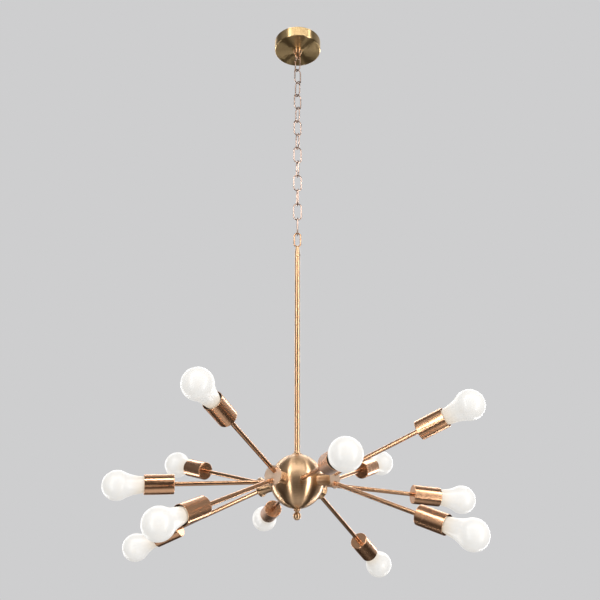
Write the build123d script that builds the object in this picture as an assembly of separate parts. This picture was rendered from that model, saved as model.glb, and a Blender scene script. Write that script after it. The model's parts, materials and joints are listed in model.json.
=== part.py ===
from build123d import *
from math import cos, radians, sin, sqrt
import os

# Twelve-light sputnik chandelier. Millimetres, +Z up.
# The origin is the centre of the ceiling face; everything hangs below it.
# Seen from -Y it stands as it is photographed.

# ---- canopy and its fixings ----
CANOPY_DIAMETER = 120.0
CANOPY_HEIGHT = 28.0
CANOPY_WALL = 1.0
CANOPY_EDGE_RADIUS = 2.5
CROSSBAR_END_GAP = 5.0       # crossbar's end to the canopy's inside
CROSSBAR_WIDTH = 20.0
CROSSBAR_THICKNESS = 2.0
SLOT_SPACING = 80.0
SLOT_LENGTH = 20.0
SLOT_WIDTH = 4.4
NIPPLE_RADIUS = 5.0
NIPPLE_BORE_RADIUS = 3.5
NIPPLE_NUT_FLATS = 16.0
NIPPLE_NUT_HEIGHT = 4.0
GROUND_SCREW_OFFSET = 19.0
GROUND_SHANK_RADIUS = 1.9
GROUND_HEAD_RADIUS = 4.0
GROUND_HEAD_HEIGHT = 2.6
COLLAR_RING_RADIUS = 11.5
COLLAR_RING_HEIGHT = 5.0
CANOPY_LOOP_BASE_HEIGHT = 6.0
CANOPY_LOOP_WIRE = 4.0
CANOPY_LOOP_WIDTH = 19.0
CANOPY_LOOP_DROP = 23.5      # canopy face to the point where the chain hangs

# ---- chain ----
LINK_COUNT = 13
LINK_WIRE = 3.2
LINK_WIDTH = 21.6            # outside
LINK_PITCH = 40.5
LINK_CLEARANCE = 0.3         # air between two wires that hang on each other
CHAIN_TWIST = 45.0           # degrees that the hanging chain is twisted in all

# ---- down rod ----
ROD_LENGTH = 459.0
ROD_DIAMETER = 11.5
ROD_WALL = 1.0
ROD_LOOP_WIRE = 4.0
ROD_LOOP_WIDTH = 18.5
ROD_LOOP_HEIGHT = 39.5       # outside height of the eye
ROD_LOOP_NECK_HEIGHT = 27.0
ROD_LOOP_SPIGOT = 18.0
LOOP_SCREW_RADIUS = 1.6
LOOP_SCREW_HEAD_RADIUS = 2.6
LOOP_SCREW_HEIGHT = 6.0      # above the rod's top end
ROD_SEAT_RADIUS = 11.0
ROD_SEAT_TOP_RADIUS = 6.6
ROD_SEAT_HEIGHT = 7.0

# ---- hub ----
BALL_DIAMETER = 112.0
BALL_WALL = 1.2
STEM_BORE_RADIUS = 3.0
STEM_ENTRY = 14.0            # how far the stem goes into the rod
STEM_NUT_FLATS = 16.0
STEM_NUT_HEIGHT = 5.0
FINIAL_WASHER_RADIUS = 6.8
FINIAL_WASHER_HEIGHT = 4.5
FINIAL_BALL_DIAMETER = 16.8
FINIAL_NECK_RADIUS = 4.4
FINIAL_NECK_HEIGHT = 3.0
FINIAL_STUD_LENGTH = 16.0

# ---- ports and pods ----
# Eight ports stand at even steps round the ball: arms straight into it take
# turns with pods that carry two arms each.
PORT_COUNT = 8
FRONT_ARM_AZIMUTH = -77.0
ARM_LEAN = 3.7               # degrees that a straight arm hangs below level
POD_LEAN = 2.0
POD_TURNS = (18.0, 4.0, -3.0, -32.0)   # how far each pod is turned on its axis
POD_LENGTH = 35.0            # ball's skin to the pod's flat end
POD_FACE_RADIUS = 20.3
POD_FACE_RIM = 2.2
POD_ROOT_RADIUS = 12.5
POD_WAIST_RADIUS = 14.8
POD_WAIST_AT = 0.68          # share of the flare's length where the waist is
POD_STEM_RADIUS = 6.0
POD_BORE_RADIUS = 4.0
POD_BORE_DEPTH = 15.0        # solid metal between the axial bore and the face
POD_SPLAY = 21.0             # degrees from the pod's axis to each of its arms
POD_FOOT_OFFSET = 10.0       # pod axis to an arm's foot, on the face
POD_NUT_FLATS = 19.0
PORT_NUT_HEIGHT = 4.0
PORT_INSERTION = 13.0        # how far pod stems and arms go in past the ball's skin

# ---- arms ----
TUBE_DIAMETER = 9.0
TUBE_WALL = 1.0
TUBE_VISIBLE = 198.0
TUBE_INTO_FOOT = PORT_INSERTION
TUBE_INTO_CUP = 9.0
ARM_SEAT_RADIUS = 6.4
ARM_SEAT_HEIGHT = 4.0
ARM_NUT_FLATS = 13.0
LEAD_RADIUS = 1.8
POD_LEAD_RADIUS = 3.0
POD_LEAD_JOINT = 20.0        # how far behind the foot a splayed arm's lead meets the pod's
SPLICE_RADIUS = 4.5
SPLICE_TIP_RADIUS = 2.8
SPLICE_START = 12.5
SPLICE_END = 30.0
LEAD_END = 26.0              # distance from hub centre where the leads are joined

# ---- cups and lampholders, measured from the cup's rear face ----
CUP_LENGTH = 59.5
CUP_DIAMETER = 40.0
CUP_WALL = 1.0
CUP_EDGE_RADIUS = 1.6
CUP_NUT_FLATS = 14.0
CUP_NUT_HEIGHT = 4.0
HOLDER_GAP = 1.5             # air between lampholder and cup
HOLDER_END = 53.0
HOLDER_FLOOR = 23.0
SHELL_INNER_RADIUS = 13.5
SHELL_WALL = 0.55
SHELL_START = 26.0
SHELL_END = 52.5
CONTACT_RADIUS = 4.0
LEAD_INTO_HOLDER = 3.0

# ---- lamp, measured from its contact tip ----
LAMP_TIP = 28.0              # cup's rear face to the lamp's contact tip
LAMP_LENGTH = 114.0
GLOBE_DIAMETER = 60.0
GLOBE_SHOULDER = 30.0        # degrees below the globe's middle where the neck leaves it
NECK_SWELL = 3.1             # how much wider the neck is at its waist than at the cap
NECK_WAIST = 0.34            # the waist's share of the way from the cap to the shoulder
GLASS_WALL = 1.0
LAMP_CAP_LENGTH = 26.5
CAP_ROOT_DEPTH = 0.9
CAP_WALL = 0.8
THREAD_PITCH = 3.6
THREAD_TURNS = 5
CAP_FLANGE_HEIGHT = 1.0
NECK_RADIUS = 14.2
CONTACT_BUTTON_RADIUS = 4.5
CONTACT_BUTTON_HEIGHT = 2.0
INSULATOR_HEIGHT = 3.0
INSULATOR_RADIUS = 10.0
INSULATOR_LIP = 1.0          # how far the insulator goes up inside the cap

# ---- clearances ----
FIT = 0.05                   # radial clearance of a tube in its hole, and of seats
CONTACT_GAP = 0.3            # lamp tip to contact tongue
CAP_PLAY = 0.3               # round the lamp's cap in the threaded shell
LEAD_PLAY = 0.8              # round a lead in a drilled passage

# ---- worked out from the sizes above ----
BALL_RADIUS = BALL_DIAMETER / 2
BALL_INNER_RADIUS = BALL_RADIUS - BALL_WALL
POD_FACE_DISTANCE = BALL_RADIUS + POD_LENGTH
CROSSBAR_LENGTH = CANOPY_DIAMETER - 2 * (CANOPY_WALL + CROSSBAR_END_GAP)
TUBE_RADIUS = TUBE_DIAMETER / 2
TUBE_BORE_RADIUS = TUBE_RADIUS - TUBE_WALL
ROD_RADIUS = ROD_DIAMETER / 2
STEM_RADIUS = ROD_RADIUS - ROD_WALL - FIT
HOLDER_RADIUS = CUP_DIAMETER / 2 - CUP_WALL - HOLDER_GAP
SHELL_OUTER_RADIUS = SHELL_INNER_RADIUS + SHELL_WALL
GLOBE_RADIUS = GLOBE_DIAMETER / 2
GLOBE_CENTRE = LAMP_LENGTH - GLOBE_RADIUS
CAP_CREST_RADIUS = SHELL_INNER_RADIUS - CAP_PLAY
CHAIN_TOP = -CANOPY_HEIGHT - CANOPY_LOOP_DROP
CHAIN_BOTTOM = CHAIN_TOP - LINK_COUNT * LINK_PITCH
ROD_LOOP_TOP_WIRE = CHAIN_BOTTOM + (ROD_LOOP_WIRE + LINK_CLEARANCE) / 2
ROD_LOOP_BOTTOM_WIRE = ROD_LOOP_TOP_WIRE - ROD_LOOP_HEIGHT + ROD_LOOP_WIRE
ROD_TOP = ROD_LOOP_BOTTOM_WIRE - ROD_LOOP_NECK_HEIGHT - ROD_LOOP_WIRE / 4
HUB_Z = ROD_TOP - ROD_LENGTH - ROD_SEAT_HEIGHT - BALL_RADIUS

HUB = Pos(0, 0, HUB_Z)


def cylinder(radius, low, high):
    """A solid cylinder on the Z axis from low to high."""
    standing = (Align.CENTER, Align.CENTER, Align.MIN)
    return Pos(0, 0, low) * Cylinder(radius, high - low, align=standing)


def ring(outer, inner, low, high):
    """A plain tube on the Z axis."""
    return cylinder(outer, low, high) - cylinder(inner, low - 1, high + 1)


def hex_nut(flats, bore, low, high):
    """A hexagonal nut on the Z axis."""
    prism = extrude(Pos(0, 0, low) * RegularPolygon(flats / 2, 6, major_radius=False), high - low)
    return prism - cylinder(bore, low - 1, high + 1)


def turned(*edges):
    """A solid turned about Z from edges that close an outline of (radius, height)."""
    return revolve(make_face(Plane.XZ * (Curve() + list(edges))), Axis.Z)


def polygon_turned(*points):
    """A solid turned about Z from an outline of straight lines."""
    return turned(Polyline(*points, close=True))


def rounded(solid, radius, rims):
    """The solid with circular edges rounded, where rims picks them from low to high."""
    edges = solid.edges().filter_by(GeomType.CIRCLE).sort_by(Axis.Z)
    return fillet([edges[i] for i in rims], radius)


def half_ring(wire, bend, height, side):
    """Half a ring of round wire in the XZ plane: above the height for side 1, below for -1."""
    section = Pos(bend, 0, height) * Circle(wire / 2)
    return revolve(section, Axis((0, 0, height), (0, -side, 0)), 180)


def wire_legs(wire, bend, low, high):
    """The two straight sides of a ring of wire."""
    leg = cylinder(wire / 2, low, high)
    return Pos(bend, 0, 0) * leg + Pos(-bend, 0, 0) * leg


def wire_ring(wire, width, span):
    """An upright oval ring of round wire in the XZ plane, centred on the origin.

    The width is the outside width. The span runs from the centre of the top
    wire to the centre of the bottom wire.
    """
    bend = (width - wire) / 2
    leg = span / 2 - bend
    ends = half_ring(wire, bend, leg, 1) + half_ring(wire, bend, -leg, -1)
    return ends + wire_legs(wire, bend, -leg, leg)


def write(name, *solids):
    """Write one node, which may be a group of separate solids."""
    shape = solids[0] if len(solids) == 1 else Compound(children=list(solids))
    export_step(shape, f"parts/{name}.step")


# ---- ceiling end ----

def canopy():
    radius = CANOPY_DIAMETER / 2
    outside = rounded(cylinder(radius, -CANOPY_HEIGHT, 0), CANOPY_EDGE_RADIUS, [0])
    inside = cylinder(radius - CANOPY_WALL, CANOPY_WALL - CANOPY_HEIGHT, 1)
    inside = rounded(inside, CANOPY_EDGE_RADIUS - CANOPY_WALL, [0])
    return outside - inside - cylinder(NIPPLE_RADIUS + FIT, -CANOPY_HEIGHT - 1, 0)


def crossbar():
    hanging = (Align.CENTER, Align.CENTER, Align.MAX)
    bar = Box(CROSSBAR_LENGTH, CROSSBAR_WIDTH, CROSSBAR_THICKNESS, align=hanging)
    bar = fillet(bar.edges().filter_by(Axis.Z), CROSSBAR_WIDTH / 5)
    slot = extrude(SlotOverall(SLOT_LENGTH, SLOT_WIDTH), -CROSSBAR_THICKNESS)
    for x in (-SLOT_SPACING / 2, SLOT_SPACING / 2):
        bar -= Pos(x, 0, 0) * slot
    bar -= cylinder(NIPPLE_RADIUS + FIT, -CROSSBAR_THICKNESS, 0)
    screw_hole = cylinder(GROUND_SHANK_RADIUS + FIT, -CROSSBAR_THICKNESS, 0)
    return bar - Pos(GROUND_SCREW_OFFSET, 0, 0) * screw_hole


def ground_screw():
    head_low = -CROSSBAR_THICKNESS - GROUND_HEAD_HEIGHT
    head = cylinder(GROUND_HEAD_RADIUS, head_low, -CROSSBAR_THICKNESS)
    head = rounded(head, GROUND_HEAD_HEIGHT / 3, [0])
    slot = Pos(0, 0, head_low) * Box(2 * GROUND_HEAD_RADIUS, 1, GROUND_HEAD_HEIGHT / 2)
    shank = cylinder(GROUND_SHANK_RADIUS, -CROSSBAR_THICKNESS, 0)
    return Pos(GROUND_SCREW_OFFSET, 0, 0) * (head + shank - slot)


def canopy_loop():
    """A U of wire under a round base that is screwed onto the nipple."""
    top = -CANOPY_HEIGHT - COLLAR_RING_HEIGHT
    base_low = top - CANOPY_LOOP_BASE_HEIGHT
    base = rounded(cylinder(CANOPY_LOOP_WIDTH / 2, base_low, top), CANOPY_LOOP_BASE_HEIGHT / 4, [0])
    bend = (CANOPY_LOOP_WIDTH - CANOPY_LOOP_WIRE) / 2
    bend_height = CHAIN_TOP - (CANOPY_LOOP_WIRE + LINK_CLEARANCE) / 2 + bend
    eye = half_ring(CANOPY_LOOP_WIRE, bend, bend_height, -1)
    eye += wire_legs(CANOPY_LOOP_WIRE, bend, bend_height, base_low + CANOPY_LOOP_BASE_HEIGHT / 2)
    hole = cylinder(NIPPLE_RADIUS + FIT, top - CANOPY_LOOP_BASE_HEIGHT / 2, top + 1)
    return Rot(0, 0, CHAIN_TWIST) * (base + eye - hole)


def write_ceiling_end():
    write("canopy", canopy())
    write("crossbar", crossbar())
    write("ground_screw", ground_screw())
    loop_top = -CANOPY_HEIGHT - COLLAR_RING_HEIGHT
    nipple_end = loop_top - CANOPY_LOOP_BASE_HEIGHT / 2 + FIT
    write("hanger_nipple", ring(NIPPLE_RADIUS, NIPPLE_BORE_RADIUS, nipple_end, 0))
    nut_low = -CROSSBAR_THICKNESS - NIPPLE_NUT_HEIGHT
    write("nipple_nut", hex_nut(NIPPLE_NUT_FLATS, NIPPLE_RADIUS + FIT, nut_low, -CROSSBAR_THICKNESS))
    collar = cylinder(COLLAR_RING_RADIUS, loop_top, -CANOPY_HEIGHT)
    collar = rounded(collar, COLLAR_RING_HEIGHT / 4, [0])
    write("collar_ring", collar - cylinder(NIPPLE_RADIUS + FIT, loop_top - 1, 0))
    write("canopy_loop", canopy_loop())


# ---- chain ----

def link_turn(index):
    """Degrees that link's plane is turned from XZ; 0 is the canopy's eye, the last is the rod's."""
    below = LINK_COUNT + 1 - index
    return below * (90 + CHAIN_TWIST / (LINK_COUNT + 1))


def write_chain():
    span = LINK_PITCH + LINK_WIRE + LINK_CLEARANCE
    link = wire_ring(LINK_WIRE, LINK_WIDTH, span)
    for index in range(1, LINK_COUNT + 1):
        middle = CHAIN_TOP - (index - 0.5) * LINK_PITCH
        write(f"chain_link_{index:02d}", Pos(0, 0, middle) * Rot(0, 0, link_turn(index)) * link)


# ---- down rod ----

def rod_loop():
    span = ROD_LOOP_HEIGHT - ROD_LOOP_WIRE
    eye = Pos(0, 0, ROD_LOOP_BOTTOM_WIRE + span / 2) * wire_ring(ROD_LOOP_WIRE, ROD_LOOP_WIDTH, span)
    neck_top = ROD_TOP + ROD_LOOP_NECK_HEIGHT
    neck_middle = ROD_TOP + ROD_LOOP_NECK_HEIGHT / 2
    foot = ((0, ROD_TOP), (ROD_RADIUS, ROD_TOP), (ROD_RADIUS, neck_middle))
    tip = ((ROD_LOOP_WIRE, neck_top), (0, neck_top))
    neck = polygon_turned(*foot, *tip)
    spigot = cylinder(ROD_RADIUS - ROD_WALL - FIT, ROD_TOP - ROD_LOOP_SPIGOT, ROD_TOP)
    hole = cylinder(LOOP_SCREW_RADIUS + FIT, 0, ROD_DIAMETER)
    return eye + neck + spigot - Pos(0, 0, ROD_TOP + LOOP_SCREW_HEIGHT) * Rot(0, 90, 0) * hole


def loop_screw():
    shank = cylinder(LOOP_SCREW_RADIUS, FIT, ROD_RADIUS)
    head = cylinder(LOOP_SCREW_HEAD_RADIUS, ROD_RADIUS, ROD_RADIUS + LOOP_SCREW_RADIUS)
    head = rounded(head, LOOP_SCREW_RADIUS / 3, [1])
    return Pos(0, 0, ROD_TOP + LOOP_SCREW_HEIGHT) * Rot(0, 90, 0) * (shank + head)


def on_ball(solid):
    """The solid cut to sit on the ball's skin, in the hub's own frame."""
    return solid - Sphere(BALL_RADIUS + FIT)


def rod_seat():
    top = BALL_RADIUS + ROD_SEAT_HEIGHT
    root = sqrt(BALL_RADIUS**2 - ROD_SEAT_RADIUS**2)
    outline = (
        (0, root - 1),
        (ROD_SEAT_RADIUS, root - 1),
        (ROD_SEAT_RADIUS, root + 2),
        (ROD_SEAT_TOP_RADIUS, BALL_RADIUS + ROD_SEAT_HEIGHT / 2),
        (ROD_SEAT_TOP_RADIUS, top),
        (0, top),
    )
    return on_ball(polygon_turned(*outline)) - cylinder(STEM_RADIUS + FIT, 0, top + 1)


def write_down_rod():
    write("rod_loop", rod_loop())
    write("loop_screw", loop_screw())
    write("down_rod", ring(ROD_RADIUS, ROD_RADIUS - ROD_WALL, ROD_TOP - ROD_LENGTH, ROD_TOP))
    write("rod_seat", HUB * rod_seat())


# ---- hub ----

def port_azimuth(index):
    return FRONT_ARM_AZIMUTH + index * 360 / PORT_COUNT


def port_frame(azimuth, lean, turn=0.0):
    """A port's frame: origin at the hub's centre, Z outwards, and X up, but for the port's turn."""
    a = radians(azimuth)
    e = radians(-lean)
    t = radians(turn)
    outwards = Vector(cos(a) * cos(e), sin(a) * cos(e), sin(e))
    upwards = Vector(-cos(a) * sin(e), -sin(a) * sin(e), cos(e))
    sideways = Vector(-sin(a), cos(a), 0)
    plane = Plane(origin=(0, 0, HUB_Z), x_dir=upwards * cos(t) + sideways * sin(t), z_dir=outwards)
    return plane.location


STRAIGHT_PORTS = [port_frame(port_azimuth(i), ARM_LEAN) for i in range(0, PORT_COUNT, 2)]
POD_PORTS = [port_frame(port_azimuth(2 * i - 1), POD_LEAN, turn) for i, turn in enumerate(POD_TURNS)]


def pod_arm_frame(side):
    """An arm's frame within its pod's: origin at the foot on the pod's face, Z along the arm."""
    s = radians(POD_SPLAY) * side
    foot = (side * POD_FOOT_OFFSET, 0, POD_FACE_DISTANCE)
    return Plane(origin=foot, x_dir=(cos(s), 0, -sin(s)), z_dir=(sin(s), 0, cos(s))).location


STRAIGHT_ARMS = [port * Pos(0, 0, BALL_RADIUS) for port in STRAIGHT_PORTS]
POD_ARMS = [port * pod_arm_frame(side) for port in POD_PORTS for side in (1, -1)]
ARMS = STRAIGHT_ARMS + POD_ARMS


def ball_nut(flats, bore, height):
    """A nut whose corners meet the ball's inside, on the Z axis from the hub's centre."""
    high = sqrt(BALL_INNER_RADIUS**2 - (flats / sqrt(3)) ** 2) - FIT
    return hex_nut(flats, bore + FIT, high - height, high)


def hub_ball():
    ball = Sphere(BALL_RADIUS) - Sphere(BALL_INNER_RADIUS)
    ball -= cylinder(STEM_RADIUS + FIT, -BALL_DIAMETER, BALL_DIAMETER)
    ball = HUB * ball
    for port in STRAIGHT_PORTS:
        ball -= port * cylinder(TUBE_RADIUS + FIT, 0, BALL_DIAMETER)
    for port in POD_PORTS:
        ball -= port * cylinder(POD_STEM_RADIUS + FIT, 0, BALL_DIAMETER)
    return ball


def arm_pod():
    """A flared pod in its port's frame."""
    flare_start = BALL_RADIUS + POD_FACE_RIM
    flare_end = POD_FACE_DISTANCE - POD_FACE_RIM
    waist = (POD_WAIST_RADIUS, flare_start + POD_WAIST_AT * (flare_end - flare_start))
    flare = Spline(
        (POD_ROOT_RADIUS, flare_start),
        waist,
        (POD_FACE_RADIUS, flare_end),
        tangents=[(0, 1), (1, 0.8)],
    )
    root = sqrt(BALL_RADIUS**2 - POD_ROOT_RADIUS**2) - 1
    body = turned(
        Polyline((0, POD_FACE_DISTANCE), (0, root), (POD_ROOT_RADIUS, root), (POD_ROOT_RADIUS, flare_start)),
        flare,
        Polyline((POD_FACE_RADIUS, flare_end), (POD_FACE_RADIUS, POD_FACE_DISTANCE), (0, POD_FACE_DISTANCE)),
    )
    body = on_ball(body) + cylinder(POD_STEM_RADIUS, BALL_RADIUS - PORT_INSERTION, BALL_RADIUS + 1)
    body = rounded(body, POD_FACE_RIM / 4, [-1])
    body -= cylinder(POD_BORE_RADIUS, 0, POD_FACE_DISTANCE - POD_BORE_DEPTH)
    for side in (1, -1):
        socket = cylinder(TUBE_RADIUS + FIT, -TUBE_INTO_FOOT - FIT, TUBE_DIAMETER)
        passage = cylinder(LEAD_RADIUS + LEAD_PLAY, -POD_LEAD_JOINT - LEAD_RADIUS, 0)
        body -= pod_arm_frame(side) * (socket + passage)
    return body


def finial():
    low = -BALL_RADIUS - FINIAL_WASHER_HEIGHT
    radius = FINIAL_BALL_DIAMETER / 2
    drop = sqrt(radius**2 - FINIAL_NECK_RADIUS**2)
    centre = low - FINIAL_NECK_HEIGHT - drop
    neck = cylinder(FINIAL_NECK_RADIUS, centre, low)
    stud = cylinder(STEM_BORE_RADIUS - FIT, low, low + FINIAL_STUD_LENGTH)
    return Pos(0, 0, centre) * Sphere(radius) + neck + stud


def write_hub():
    write("hub_ball", hub_ball())
    rod_bottom = BALL_RADIUS + ROD_SEAT_HEIGHT
    stem_low = BALL_WALL / 2 - BALL_RADIUS
    write("hub_stem", HUB * ring(STEM_RADIUS, STEM_BORE_RADIUS, stem_low, rod_bottom + STEM_ENTRY))
    nut = ball_nut(STEM_NUT_FLATS, STEM_RADIUS, STEM_NUT_HEIGHT)
    write("stem_nuts", HUB * nut, HUB * Rot(180, 0, 0) * nut)
    washer_low = -BALL_RADIUS - FINIAL_WASHER_HEIGHT
    washer = on_ball(cylinder(FINIAL_WASHER_RADIUS, washer_low, -BALL_RADIUS + 2))
    write("finial_washer", HUB * (washer - cylinder(STEM_BORE_RADIUS, washer_low - 1, 0)))
    write("finial", HUB * finial())
    pod = arm_pod()
    for index, port in enumerate(POD_PORTS, 1):
        write(f"arm_pod_{index}", port * pod)
    pod_nut = ball_nut(POD_NUT_FLATS, POD_STEM_RADIUS, PORT_NUT_HEIGHT)
    write("pod_nuts", *[port * pod_nut for port in POD_PORTS])
    arm_nut = ball_nut(ARM_NUT_FLATS, TUBE_RADIUS, PORT_NUT_HEIGHT)
    write("arm_nuts", *[port * arm_nut for port in STRAIGHT_PORTS])
    seat = on_ball(cylinder(ARM_SEAT_RADIUS, BALL_RADIUS - 2, BALL_RADIUS + ARM_SEAT_HEIGHT))
    seat = rounded(seat, ARM_SEAT_HEIGHT / 4, [-1]) - cylinder(TUBE_RADIUS + FIT, 0, BALL_DIAMETER)
    write("arm_seats", *[port * seat for port in STRAIGHT_PORTS])


# ---- arms: Z along the arm from its foot ----

def socket_cup():
    radius = CUP_DIAMETER / 2
    outside = rounded(cylinder(radius, 0, CUP_LENGTH), CUP_EDGE_RADIUS, [0])
    inside = cylinder(radius - CUP_WALL, CUP_WALL, CUP_LENGTH + 1)
    return outside - inside - cylinder(TUBE_RADIUS + FIT, -1, CUP_WALL + 1)


def lampholder():
    low = CUP_WALL + CUP_NUT_HEIGHT + FIT
    body = cylinder(HOLDER_RADIUS, low, HOLDER_END)
    body -= cylinder(TUBE_RADIUS + FIT, low - 1, TUBE_INTO_CUP + FIT)
    body -= cylinder(LEAD_RADIUS + FIT, low, TUBE_INTO_CUP + LEAD_INTO_HOLDER + FIT)
    return body - cylinder(SHELL_OUTER_RADIUS + FIT, HOLDER_FLOOR, HOLDER_END + 1)


def lamp_glass():
    """The blown glass: a globe that flows into a neck. Heights are from the contact tip."""
    shoulder = GLOBE_RADIUS * sin(radians(GLOBE_SHOULDER))

    def filled(radius, neck_radius, low):
        width = radius * cos(radians(GLOBE_SHOULDER))
        height = GLOBE_CENTRE - shoulder * radius / GLOBE_RADIUS
        waist = LAMP_CAP_LENGTH + NECK_WAIST * (height - LAMP_CAP_LENGTH)
        neck = Spline(
            (neck_radius, LAMP_CAP_LENGTH),
            (neck_radius + NECK_SWELL, waist),
            (width, height),
            tangents=[(0.35, 1), (GLOBE_CENTRE - height, width)],
        )
        crown = RadiusArc((width, height), (0, GLOBE_CENTRE + radius), -radius)
        corners = ((0, low), (neck_radius, low), (neck_radius, LAMP_CAP_LENGTH))
        return turned(Polyline((0, GLOBE_CENTRE + radius), *corners), neck, crown)

    hollow = filled(GLOBE_RADIUS - GLASS_WALL, NECK_RADIUS - GLASS_WALL, LAMP_CAP_LENGTH - 1)
    body = filled(GLOBE_RADIUS, NECK_RADIUS, LAMP_CAP_LENGTH - 1)
    return body - hollow - cylinder(NECK_RADIUS + 1, LAMP_CAP_LENGTH - 2, LAMP_CAP_LENGTH)


def lamp_base():
    """The lamp's threaded cap, its insulator and its contact button, from the contact tip."""
    root = CAP_CREST_RADIUS - CAP_ROOT_DEPTH
    bore = root - CAP_WALL
    cap_low = CONTACT_BUTTON_HEIGHT + INSULATOR_HEIGHT - INSULATOR_LIP
    outline = [(bore, cap_low), (root, cap_low)]
    for turn in range(1, THREAD_TURNS + 1):
        crest = cap_low + turn * THREAD_PITCH
        outline += [
            (root, crest - THREAD_PITCH / 3),
            (CAP_CREST_RADIUS, crest - THREAD_PITCH / 8),
            (CAP_CREST_RADIUS, crest + THREAD_PITCH / 8),
            (root, crest + THREAD_PITCH / 3),
        ]
    flange_low = LAMP_CAP_LENGTH - CAP_FLANGE_HEIGHT
    outline += [(root, flange_low), (NECK_RADIUS, flange_low)]
    outline += [(NECK_RADIUS, LAMP_CAP_LENGTH), (bore, LAMP_CAP_LENGTH)]
    cap = polygon_turned(*outline)
    button_top = CONTACT_BUTTON_HEIGHT
    insulator = polygon_turned(
        (0, button_top),
        (CONTACT_BUTTON_RADIUS, button_top),
        (INSULATOR_RADIUS, cap_low),
        (bore, cap_low),
        (bore, cap_low + INSULATOR_LIP),
        (0, cap_low + INSULATOR_LIP),
    )
    button = rounded(cylinder(CONTACT_BUTTON_RADIUS, 0, button_top), button_top / 2, [0])
    return [cap, insulator, button]


def write_arms():
    cups = [arm * Pos(0, 0, TUBE_VISIBLE) for arm in ARMS]
    tube = ring(TUBE_RADIUS, TUBE_BORE_RADIUS, -TUBE_INTO_FOOT, TUBE_VISIBLE + TUBE_INTO_CUP)
    write("arm_tubes_straight", *[arm * tube for arm in STRAIGHT_ARMS])
    write("arm_tubes_splayed", *[arm * tube for arm in POD_ARMS])
    cup = socket_cup()
    straight = len(STRAIGHT_ARMS)
    write("socket_cups_straight", *[place * cup for place in cups[:straight]])
    write("socket_cups_splayed", *[place * cup for place in cups[straight:]])
    nut = hex_nut(CUP_NUT_FLATS, TUBE_RADIUS + FIT, CUP_WALL, CUP_WALL + CUP_NUT_HEIGHT)
    write("cup_nuts", *[place * nut for place in cups])
    holder = lampholder()
    write("lampholders", *[place * holder for place in cups])
    shell = ring(SHELL_OUTER_RADIUS, SHELL_INNER_RADIUS, SHELL_START, SHELL_END)
    write("screw_shells", *[place * shell for place in cups])
    contact = cylinder(CONTACT_RADIUS, HOLDER_FLOOR, LAMP_TIP - CONTACT_GAP)
    write("centre_contacts", *[place * contact for place in cups])

    lead_top = TUBE_VISIBLE + TUBE_INTO_CUP + LEAD_INTO_HOLDER
    straight_lead = cylinder(LEAD_RADIUS, LEAD_END - BALL_RADIUS, lead_top)
    pod_arm_lead = cylinder(LEAD_RADIUS, -POD_LEAD_JOINT, lead_top)
    leads = [arm * straight_lead for arm in STRAIGHT_ARMS] + [arm * pod_arm_lead for arm in POD_ARMS]
    write("arm_leads", *leads)
    splay = radians(POD_SPLAY)
    joint = POD_FACE_DISTANCE - POD_LEAD_JOINT * cos(splay) - LEAD_RADIUS * sin(splay) - FIT
    write("pod_leads", *[port * cylinder(POD_LEAD_RADIUS, LEAD_END, joint) for port in POD_PORTS])
    cap = polygon_turned(
        (0, SPLICE_START),
        (SPLICE_TIP_RADIUS, SPLICE_START),
        (SPLICE_RADIUS, (SPLICE_START + SPLICE_END) / 2),
        (SPLICE_RADIUS, SPLICE_END),
        (0, SPLICE_END),
    )
    caps = []
    for ports, lead in ((STRAIGHT_PORTS, LEAD_RADIUS), (POD_PORTS, POD_LEAD_RADIUS)):
        bored = cap - cylinder(lead + FIT, LEAD_END - FIT, SPLICE_END + 1)
        caps += [port * bored for port in ports]
    write("splice_caps", *caps)

    lamp = [lamp_glass()] + lamp_base()
    for index, cup_place in enumerate(cups, 1):
        place = cup_place * Pos(0, 0, LAMP_TIP)
        write(f"bulb_{index:02d}", *[place * solid for solid in lamp])


def main():
    os.makedirs("parts", exist_ok=True)
    write_ceiling_end()
    write_chain()
    write_down_rod()
    write_hub()
    write_arms()
    print("hub centre below the ceiling", round(-HUB_Z, 1))
    print("reach of a straight arm", BALL_RADIUS + TUBE_VISIBLE + LAMP_TIP + LAMP_LENGTH)


main()
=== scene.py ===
"""Looks of a twelve-light chandelier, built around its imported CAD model.

The sizes of pieces are in millimetres and become metres when a mesh is made. The frame is the CAD
model's own: Z is up, and the ceiling is at z = 0. Each piece is made along its own Z axis and then
placed, so that its grain runs round or along that axis.
"""

from __future__ import annotations

import json
import logging
import math
from abc import ABC, abstractmethod
from collections.abc import Callable, Iterable, Sequence
from dataclasses import dataclass, field
from enum import Enum

import bmesh
import bpy
from mathutils import Euler, Matrix, Vector

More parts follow.
